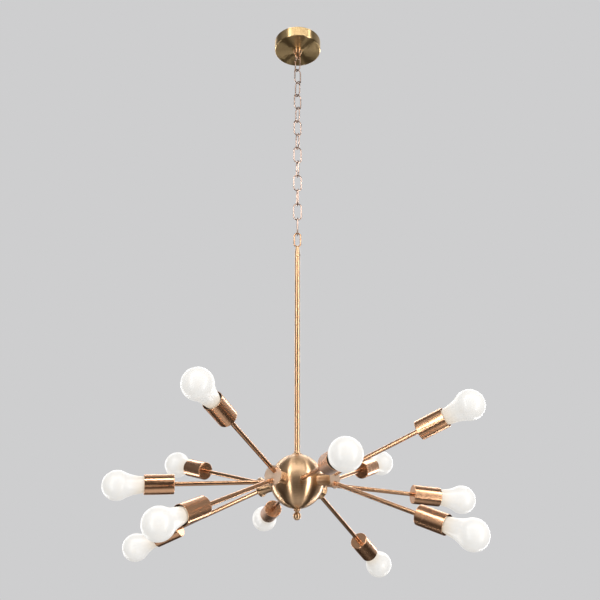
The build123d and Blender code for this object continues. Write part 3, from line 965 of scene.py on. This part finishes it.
@dataclass
class Canopy:
    """The shallow cup against the ceiling, with the ring that clamps it."""

    shop: Workshop
    radius: float = 60.0
    depth: float = 28.0
    wall: float = 1.0
    edge: float = 2.5
    hole: float = 5.05
    ring_radius: float = 11.5
    ring_height: float = 5.0
    groove: tuple[float, float] = (0.35, 3.2)    # its depth, and its height up the ring
    groove_half: float = 0.3

    def build(self) -> None:
        """Makes the cup and its ring, and dresses what is inside."""
        inside, floor = self.radius - self.wall, -self.depth + self.wall
        cup = [
            (self.hole, -self.depth, 0.2), (self.radius, -self.depth, self.edge),
            (self.radius, 0, 0.4), (inside, 0, 0.4), (inside, floor, 1.5), (self.hole, floor, 0.2),
        ]
        self.shop.piece("canopy_shell", turned(cup, 128, steps=7), "canopy", [CANOPY_BRASS])
        low, wide = -self.depth - self.ring_height, self.ring_radius
        deep, middle = self.groove
        ring = [
            (self.hole, low, 0.2), (wide, low, 1.25), (wide, low + middle - self.groove_half, 0.15),
            (wide - deep, low + middle, 0.1), (wide, low + middle + self.groove_half, 0.15),
            (wide, -self.depth, 0.3), (self.hole, -self.depth, 0.2),
        ]
        self.shop.piece("clamp_ring", turned(ring, 64), "collar_ring", [TURNED_BRASS])
        for node in ("crossbar", "hanger_nipple", "nipple_nut"):
            self.shop.dress(node, ZINC_STEEL)
        self.shop.dress("ground_screw", GREEN_SCREW)


@dataclass
class CanopyLoop:
    """The closed eye under the canopy, turned to take the first link."""

    shop: Workshop
    top: float = -33.0
    height: float = 6.0
    radius: float = 9.5
    wire: float = 2.0
    bend: float = 7.5
    bend_height: float = -46.15
    turned_by: float = 45.0

    def build(self) -> None:
        """Makes the eye's collar and its wire, which swells where it enters the collar."""
        where = Matrix.Rotation(math.radians(self.turned_by), 4, "Z")
        low = self.top - self.height
        collar = [(0, low), (self.radius, low, 1.5), (self.radius, self.top, 0.3), (0, self.top)]
        shape = turned(collar, 64, closed=False)
        self.shop.piece("canopy_eye_collar", shape, "canopy_loop", [TURNED_BRASS], where)
        bend = [
            Vector((self.bend * math.cos(a), 0, self.bend_height - self.bend * math.sin(a)))
            for a in (math.pi * k / 24 for k in range(25))
        ]
        leg = [low + 2.5, low, low - 0.35, low - 0.9, low - 1.7, (low + self.bend_height) / 2]
        swell = [self.wire + more for more in (0.75, 0.75, 0.4, 0.14, 0.0, 0.0)]
        path = [Vector((self.bend, 0, z)) for z in leg] + bend
        path += [Vector((-self.bend, 0, z)) for z in reversed(leg)]
        radii = swell + [self.wire] * len(bend) + swell[::-1]
        shape = Shape().wire(path, radii, False)
        self.shop.piece("canopy_eye", shape, "canopy_loop", [LOOP_BRASS], where)


@dataclass
class Chain:
    """Thirteen bent links, each turned a little more than a quarter turn from the next."""

    shop: Workshop
    count: int = 13
    first: float = -51.5     # where the first link's top would be with no wire
    pitch: float = 40.5
    wire: float = 1.6
    bend: float = 9.2
    straight: float = 12.8   # half of a side's length
    turned_by: float = 90.0 + 45.0 / 14.0
    groove_depth: float = 0.22
    groove: tuple[float, ...] = (-0.45, -0.18, 0.0, 0.18, 0.45)   # heights of its rings

    def build(self) -> None:
        """Makes every link, with the groove where its bent ends meet."""
        path, radii = [], []
        for point in stadium(self.bend, self.straight, 0.0):
            joined = point.x > 0 and abs(point.z) < 0.01
            for height in self.groove if joined else (0.0,):
                cut = joined and height not in (self.groove[0], self.groove[-1])
                path.append(point + Vector((0, 0, height)))
                radii.append(self.wire - (self.groove_depth if cut else 0.0))
        for number in range(1, self.count + 1):
            height = self.first - (number - 0.5) * self.pitch
            angle = math.radians((self.count + 1 - number) * self.turned_by)
            where = Matrix.Translation((0, 0, height * MM)) @ Matrix.Rotation(angle, 4, "Z")
            node, shape = f"chain_link_{number:02d}", Shape().wire(path, radii, True)
            self.shop.piece(f"link_{number:02d}", shape, node, [CHAIN_BRASS], where)


# -------------------------------------------------------------------- the rod


@dataclass
class Rod:
    """The eye on the rod's top, the rod, and the set screw that locks them."""

    shop: Workshop
    wire: float = 2.0
    bend: float = 7.25
    eye_top: float = -575.85
    eye_bottom: float = -611.35
    neck_low: float = -639.35
    neck_high: float = -625.85
    taper_top: float = -612.35
    taper_radius: float = 4.0
    radius: float = 5.75
    wall: float = 1.0
    foot: float = -1098.35
    screw_height: float = -633.35
    screw_radius: float = 2.6
    screw_head: float = 1.6
    screw_foot: float = -0.6      # under the rod's skin
    socket: float = 1.05
    socket_depth: float = 0.95

    def build(self) -> None:
        """Makes the eye, its neck, the screw and the rod."""
        half = (self.eye_top - self.eye_bottom) / 2
        eye = stadium(self.bend, half - self.bend, (self.eye_top + self.eye_bottom) / 2)
        shape = Shape().wire(eye, [self.wire] * len(eye), True)
        self.shop.piece("rod_eye", shape, "rod_loop", [LOOP_BRASS])
        neck = [
            (0, self.taper_top), (self.taper_radius, self.taper_top, 1.0),
            (self.radius, self.neck_high, 2.0), (self.radius, self.neck_low, 0.3),
            (0, self.neck_low),
        ]
        shape = turned(neck, 48, closed=False)
        self.shop.piece("rod_eye_neck", shape, "rod_loop", [TURNED_BRASS])
        shape = pipe(self.radius, self.wall, self.foot, self.neck_low, 48)
        self.shop.piece("rod_tube", shape, "down_rod", [TUBE_BRASS])
        self._screw()

    def _screw(self) -> None:
        """Makes the set screw's head, with a six-sided socket in its end."""
        head, deep = self.screw_head, self.screw_head - self.socket_depth
        corners = [
            (0, self.screw_foot), (self.screw_radius, self.screw_foot),
            (self.screw_radius, head, 0.35), (self.socket, head, 0.08), (self.socket, deep),
            (0, deep - 0.15),
        ]

        def six_sided(angle: float, radius: float, height: float) -> float:
            """Flattens the socket's wall into six sides, at an angle, for a radius at a height."""
            if radius > self.socket + 0.2 or height < 0:
                return radius
            return radius * math.cos(math.pi / 6) / math.cos(angle % (math.pi / 3) - math.pi / 6)

        foot = Vector((self.radius, 0, self.screw_height))
        where = frame_at(foot, Vector((1, 0, 0)), Vector((0, 1, 0)))
        shape = Shape().turn(rounded(corners, False, 4), 48, False, cut=six_sided)
        self.shop.piece("set_screw", shape, "loop_screw", [BRIGHT_STEEL], where)


# --------------------------------------------------------------------- the hub


@dataclass
class Hub:
    """The ball with its seat above and its finial below, measured from the ball's centre."""

    shop: Workshop
    height: float = -1161.35
    radius: float = 56.0
    seat_radius: float = 11.0
    seat_shoulder: float = 56.91
    seat_neck: float = 6.6
    seat_neck_from: float = 59.5
    seat_top: float = 63.0
    seat_bore: float = 5.8
    washer_radius: float = 6.8
    washer_foot: float = -60.5
    finial_neck: float = 4.4
    finial_radius: float = 8.4
    finial_middle: float = -70.66

    def skin(self, radius: float) -> float:
        """Gives the height of the ball's skin at a radius."""
        return math.sqrt(self.radius**2 - radius**2)

    def build(self) -> None:
        """Makes the ball, the seat, the washer and the finial, and dresses what is inside."""
        foot, neck = self.washer_foot, self.finial_neck
        seat = [
            (self.seat_bore, self.skin(self.seat_bore)),
            (self.seat_radius, self.skin(self.seat_radius)),
            (self.seat_radius, self.seat_shoulder, 0.5), (self.seat_neck, self.seat_neck_from, 0.5),
            (self.seat_neck, self.seat_top, 0.4), (self.seat_bore, self.seat_top),
        ]
        washer = [
            (0, 0.6 - self.radius), (self.washer_radius, -self.skin(self.washer_radius)),
            (self.washer_radius, foot, 0.9), (0, foot),
        ]
        finial = [(0.0, foot)] + [(neck, foot - 0.5 * k) for k in range(4)]
        start = math.degrees(math.acos(neck / self.finial_radius))
        finial += arc(self.finial_middle, self.finial_radius, start, -90, 36)
        ball = Shape().turn(arc(0, self.radius, 90, -90, 72), 144, False)
        where = Matrix.Translation((0, 0, self.height * MM))
        for name, shape, node in (
            ("ball_shell", ball, "hub_ball"),
            ("rod_foot_seat", turned(seat, 64), "rod_seat"),
            ("finial_collar", turned(washer, 48, closed=False), "finial_washer"),
            ("finial_ball", Shape().turn(finial, 72, False), "finial"),
        ):
            self.shop.piece(name, shape, node, [TURNED_BRASS], where)
        for node in ("hub_stem", "stem_nuts", "pod_nuts", "arm_nuts"):
            self.shop.dress(node, ZINC_STEEL)
        self.shop.dress("splice_caps", SPLICE_CAP)
        for node in ("arm_leads", "pod_leads"):
            self.shop.dress(node, LEAD_SLEEVE)


@dataclass
class Port:
    """A place on the ball's skin where a pod or an arm sits, in degrees."""

    azimuth: float
    lean: float
    turned_by: float = 0.0

    def frame(self, hub: Hub) -> Matrix:
        """Gives the port's frame, at the ball's centre with Z outwards.

        Args:
            hub: the hub.

        Returns:
            The frame, in metres.
        """
        a, e, t = (math.radians(d) for d in (self.azimuth, -self.lean, self.turned_by))
        outwards = Vector((math.cos(a) * math.cos(e), math.sin(a) * math.cos(e), math.sin(e)))
        upwards = Vector((-math.cos(a) * math.sin(e), -math.sin(a) * math.sin(e), math.cos(e)))
        sideways = Vector((-math.sin(a), math.cos(a), 0))
        across = upwards * math.cos(t) + sideways * math.sin(t)
        return frame_at(Vector((0, 0, hub.height)), outwards, across)


@dataclass
class Pod:
    """A flared, turned pod that carries two arms, measured from the ball's centre."""

    shop: Workshop
    hub: Hub
    number: int
    port: Port
    foot_radius: float = 12.5
    waist_from: float = 58.2
    waist: tuple[float, float] = (14.8, 79.0)
    rim: tuple[float, float] = (20.3, 88.8)
    rim_rise: float = 0.8
    face: float = 91.0
    splay: float = 21.0
    spread: float = 10.0

    def arm_frames(self) -> list[Matrix]:
        """Gives the frames of the pod's two arms, at the face with Z along the arm.

        Returns:
            The two frames, in metres.
        """
        frames = []
        for side in (1, -1):
            s = math.radians(side * self.splay)
            along = Vector((math.sin(s), 0, math.cos(s)))
            across = Vector((math.cos(s), 0, -math.sin(s)))
            foot = frame_at(Vector((side * self.spread, 0, self.face)), along, across)
            frames.append(self.port.frame(self.hub) @ foot)
        return frames

    def build(self) -> None:
        """Makes the pod."""
        foot, start = self.foot_radius, Vector((self.foot_radius, self.waist_from))
        flare = curve(
            [
                (start, Vector((0, 1))), (Vector(self.waist), Vector(self.rim) - start),
                (Vector(self.rim), Vector((1, self.rim_rise))),
            ],
            14,
        )
        face = rounded([self.rim, (self.rim[0], self.face, 0.55), (0, self.face)], False)
        skin = self.hub.skin(foot)
        outline = [(0.0, skin - 1.0), (foot - 0.3, skin), (foot, skin + 0.3)]
        outline += [(foot, (skin + self.waist_from) / 2), *flare[:-1], *face]
        shape = Shape().turn(outline, 72, False, lambda _, height: int(height > self.face - 0.05))
        # finish 1, on the face, is the paler brass whose colour paints on the light that the face
        # catches
        finishes, where = [TURNED_BRASS, SATIN_FACE_BRASS_PAINTED_LIGHT], self.port.frame(self.hub)
        self.shop.piece(f"pod_{self.number}", shape, f"arm_pod_{self.number}", finishes, where)


# -------------------------------------------------------------- arms and lamps


@dataclass
class Arm:
    """One arm: its tube, the cup on its end and the lamp that screws into it."""

    shop: Workshop
    hub: Hub
    number: int
    foot: Matrix             # at the ball's skin or the pod's face, with Z along the arm
    straight: bool
    tube_radius: float = 4.5
    tube_wall: float = 1.0
    tube_from: float = -13.0
    tube_to: float = 207.0
    play: float = 0.05       # between the tube and what it passes through
    cup_at: float = 198.0
    cup_radius: float = 20.0
    cup_length: float = 59.5
    cup_wall: float = 1.0
    cup_edge: float = 1.6
    seat_radius: float = 6.4
    seat_top: float = 4.0
    lamp_at: float = 28.0

    def build(self) -> None:
        """Makes the tube, the cup, the lamp, and the collar of a tube that meets the ball."""
        kind, number = "straight" if self.straight else "splayed", f"{self.number:02d}"
        shape = pipe(self.tube_radius, self.tube_wall, self.tube_from, self.tube_to, 40)
        self.shop.piece(f"arm_{number}", shape, f"arm_tubes_{kind}", [TUBE_BRASS], self.foot)
        hole = self.tube_radius + self.play
        if self.straight:
            seat = [
                (hole, self.hub.skin(self.tube_radius) - self.hub.radius),
                (self.seat_radius, self.hub.skin(self.seat_radius) - self.hub.radius),
                (self.seat_radius, self.seat_top, 1.0), (hole, self.seat_top),
            ]
            shape = turned(seat, 48)
            self.shop.piece(f"arm_collar_{number}", shape, "arm_seats", [TURNED_BRASS], self.foot)
        inside = self.cup_radius - self.cup_wall
        cup = [
            (hole, 0, 0.15), (self.cup_radius, 0, self.cup_edge),
            (self.cup_radius, self.cup_length, 0.35), (inside, self.cup_length, 0.35),
            (inside, self.cup_wall, 0.6), (hole, self.cup_wall, 0.15),
        ]
        shape, where = turned(cup, 80, steps=6), moved(self.foot, self.cup_at)
        self.shop.piece(f"cup_{number}", shape, f"socket_cups_{kind}", [CUP_BRASS], where)
        Lamp(self.shop, self.number).build(moved(where, self.lamp_at))


@dataclass
class Lamp:
    """A frosted globe lamp with a screw cap, made upwards from the contact in its end."""

    shop: Workshop
    number: int
    contact: tuple[Corner, ...] = ((0.0, 0.0), (2.2, 0.05), (3.9, 0.35), (4.5, 0.9), (4.5, 2.0))
    black: tuple[Corner, ...] = ((10.0, 4.0), (11.2, 4.1))
    lip: tuple[Corner, ...] = ((11.5, 5.0), (12.15, 5.25), (12.3, 5.7))
    root: float = 12.3
    crest: float = 13.2
    pitch: float = 3.6
    thread: tuple[float, float] = (6.4, 23.4)
    rows: int = 56           # rings of the thread
    flange_radius: float = 14.2
    flange: tuple[float, float] = (25.5, 26.5)
    waist: tuple[float, float] = (17.3, 40.95)
    waist_slope: float = 0.157
    neck_slope: float = 0.35
    globe_radius: float = 30.0
    globe_middle: float = 84.0
    globe_shoulder: float = -30.0

    def build(self, where: Matrix) -> None:
        """Makes the glass and the cap.

        Args:
            where: the lamp's own frame.
        """
        node = f"bulb_{self.number:02d}"
        cap = [BRIGHT_STEEL, LAMP_GLASS_BLACK, CONTACT_BRASS]
        self.shop.piece(f"{node}_cap", self._cap(), node, cap, where)
        shoulder = math.radians(self.globe_shoulder)
        globe = Vector((math.cos(shoulder), math.sin(shoulder))) * self.globe_radius
        start = Vector((self.flange_radius, self.flange[1]))
        neck = curve(
            [
                (start, Vector((self.neck_slope, 1))),
                (Vector(self.waist), Vector((self.waist_slope, 1))),
                (globe + Vector((0, self.globe_middle)), Vector((-globe.y, globe.x))),
            ],
            18,
        )
        crown = arc(self.globe_middle, self.globe_radius, self.globe_shoulder, 90, 40)
        shape = Shape().turn([(0.0, self.flange[1]), *neck[:-1], *crown], 96, False)
        self.shop.piece(f"{node}_glass", shape, node, [LIT_GLASS], where)

    def _cap(self) -> Shape:
        """Makes the contact, the black glass round it and the threaded cap.

        Returns:
            The shape, with finish 0 on the cap, 1 on the black glass and 2 on the contact.
        """
        low, high = self.thread
        rings = [(self.root, low + (high - low) * k / self.rows) for k in range(self.rows + 1)]
        flange = [
            (self.root, high + 0.5), (self.root, self.flange[0], 0.6),
            (self.flange_radius, self.flange[0], 0.3), (self.flange_radius, self.flange[1]),
            (0, self.flange[1]),
        ]
        outline = [*self.contact, *self.black, *self.lip, *rings, *rounded(flange, False)]

        def thread(angle: float, radius: float, height: float) -> float:
            """Raises the thread round the cap, at an angle, for a radius at a height."""
            if not low <= height <= high or radius != self.root:
                return radius
            ends = min(height - low, high - height) / (0.5 * self.pitch)
            wave = 0.5 + 0.5 * math.cos(2 * math.pi * height / self.pitch - angle)
            return self.root + (self.crest - self.root) * wave * min(1.0, ends)

        def finish(radius: float, height: float) -> int:
            """Gives the finish number for a radius and a height."""
            contact_radius, contact_top = self.contact[-1]
            if height < contact_top and radius <= contact_radius:
                return 2
            return 1 if height < self.lip[0][1] else 0

        return Shape().turn(outline, 64, False, finish, thread)


# ----------------------------------------------------------------- the studio


@dataclass
class SoftBox:
    """A large soft lamp that faces the chandelier, in metres."""

    name: str
    bearing: float           # from the camera's side, to the right, in degrees
    distance: float
    height: float
    width: float
    length: float
    watts: float
    aim: Vector = field(default_factory=lambda: Vector((0, 0, -1.0)))

    def build(self) -> None:
        """Makes the lamp."""
        data = bpy.data.lights.new(self.name, "AREA")
        data.shape, data.energy = "RECTANGLE", self.watts
        data.size, data.size_y = self.width, self.length
        lamp = placed(self.name, data)
        angle = math.radians(self.bearing)
        across, towards = self.distance * math.sin(angle), self.distance * math.cos(angle)
        lamp.location = (across, -towards, self.height)
        lamp.rotation_euler = (self.aim - lamp.location).to_track_quat("-Z", "Y").to_euler()


@dataclass
class Studio:
    """The camera, the floor, the pale surround and the lamps, in metres."""

    camera_place: Vector = field(default_factory=lambda: Vector((0.00615, -1.6784, -1.4839)))
    camera_rise: float = 23.654
    lens: float = 48.0
    sensor: float = 36.0
    floor_height: float = -2.4
    floor: PaleFloor = PaleFloor()
    floor_sides: int = 128
    pale: Colour = tone(206, 206, 207)
    fill: Colour = tone(124, 124, 125)
    gap: Colour = tone(44, 39, 33)
    ground: Colour = tone(50, 44, 37)
    horizon: tuple[float, float] = (-0.35, 0.05)   # the Z of a ray, from all ground to none
    panels: Sequence[tuple[float, float]] = (      # shares of a turn from the back, and how pale
        (0.0, 1.0), (0.10, 0.9), (0.19, 0.0), (0.32, 0.5), (0.42, 0.0),
        (0.55, 0.0), (0.68, 0.0), (0.80, 0.5), (0.90, 0.9), (1.0, 1.0),
    )
    boxes: Sequence[SoftBox] = (
        SoftBox("left_box", -35.0, 2.6, -1.1, 0.3, 4.4, 46.0),
        SoftBox("right_box", 53.0, 2.6, -1.1, 0.42, 4.4, 70.0),
        SoftBox("back_left_box", -128.0, 2.6, -1.1, 0.3, 4.4, 36.0),
        SoftBox("back_right_box", 142.0, 2.6, -1.1, 0.3, 4.4, 36.0),
        SoftBox("front_top_box", 0.0, 1.7, 0.75, 3.2, 0.34, 38.0),
        SoftBox("back_top_box", 180.0, 1.7, 0.75, 3.2, 0.34, 20.0),
    )

    def build(self, effects: Effects) -> None:
        """Makes the camera, the floor, the surround and the lamps.

        Args:
            effects: the shared node groups.
        """
        bpy.context.scene.view_settings.view_transform = "Standard"
        data = bpy.data.cameras.new("camera")
        data.lens, data.sensor_width = self.lens, self.sensor
        camera = placed("camera", data)
        camera.location = self.camera_place
        camera.rotation_euler = Euler((math.radians(90 + self.camera_rise), 0, 0))
        bpy.context.scene.camera = camera
        self._floor(effects)
        self._surround()
        for box in self.boxes:
            box.build()
            log.info("lamp %s", box.name)

    def _floor(self, effects: Effects) -> None:
        """Makes the plain pale floor, a round one.

        Args:
            effects: the shared node groups.
        """
        shape, reach = Shape(), self.floor.radius / MM
        angles = [2 * math.pi * k / self.floor_sides for k in range(self.floor_sides)]
        rim = [shape.mesh.verts.new((math.cos(a) * reach, math.sin(a) * reach, 0)) for a in angles]
        shape.mesh.faces.new(rim)
        floor = placed("floor", shape.finished("floor"))
        floor.location.z = self.floor_height
        floor.data.materials.append(self.floor.material(effects))

    def _surround(self) -> None:
        """Makes a pale surround, with gaps between its panels where only metal reflects them."""
        world = bpy.data.worlds.new("surround")
        world.use_nodes = True
        bpy.context.scene.world = world
        graph = Graph(world.node_tree)
        where = graph.node("TexCoord").outputs["Generated"]
        x, y, rise = graph.node("SeparateXYZ", {0: where}).outputs
        bearing = graph.math("ARCTAN2", x, graph.math("MULTIPLY", y, -1.0))
        turn = graph.math("MULTIPLY_ADD", bearing, 1 / (2 * math.pi), 0.5)
        ramp = graph.node("ValToRGB", {0: turn})
        ramp.color_ramp.interpolation = "EASE"
        stops = ramp.color_ramp.elements
        while len(stops) < len(self.panels):
            stops.new(0.5)
        for stop, (place, share) in zip(stops, self.panels):
            stop.position, stop.color = place, (share, share, share, 1)
        mirrored = graph.mix(ramp.outputs["Color"], self.gap, self.pale)
        mirrored = graph.mix(graph.between(rise, *self.horizon), self.ground, mirrored)
        rays = graph.node("LightPath").outputs
        colour = graph.mix(rays["Is Glossy Ray"], self.pale, mirrored)
        colour = graph.mix(rays["Is Diffuse Ray"], colour, self.fill)
        surround = graph.node("Background", {"Color": colour})
        graph.node("OutputWorld", {"Surface": surround.outputs[0]})


# --------------------------------------------------------------- the chandelier


@dataclass
class Chandelier:
    """Every piece, from the ceiling down."""

    shop: Workshop
    straight_ports: Sequence[Port] = (
        Port(-77, 3.7), Port(13, 3.7), Port(103, 3.7), Port(193, 3.7),
    )
    pod_ports: Sequence[Port] = (
        Port(-122, 2, 18), Port(-32, 2, 4), Port(58, 2, -3), Port(148, 2, -32),
    )

    def build(self) -> None:
        """Makes every piece, and dresses what is inside the cups."""
        shop, hub = self.shop, Hub(self.shop)
        for part in (Canopy(shop), CanopyLoop(shop), Chain(shop), Rod(shop), hub):
            part.build()
        feet = [(moved(port.frame(hub), hub.radius), True) for port in self.straight_ports]
        for number, port in enumerate(self.pod_ports, 1):
            pod = Pod(shop, hub, number, port)
            pod.build()
            feet += [(foot, False) for foot in pod.arm_frames()]
        for number, (foot, straight) in enumerate(feet, 1):
            Arm(shop, hub, number, foot, straight).build()
        shop.dress("cup_nuts", ZINC_STEEL)
        shop.dress("lampholders", HOLDER_BLACK)
        for node in ("screw_shells", "centre_contacts"):
            shop.dress(node, CONTACT_BRASS)


def main() -> None:
    """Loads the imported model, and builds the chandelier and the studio."""
    logging.basicConfig(level=logging.INFO, format="%(name)s: %(message)s")
    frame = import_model()
    effects = Effects()
    Chandelier(Workshop(frame, effects)).build()
    Studio().build(effects)


if __name__ == "__main__":
    main()
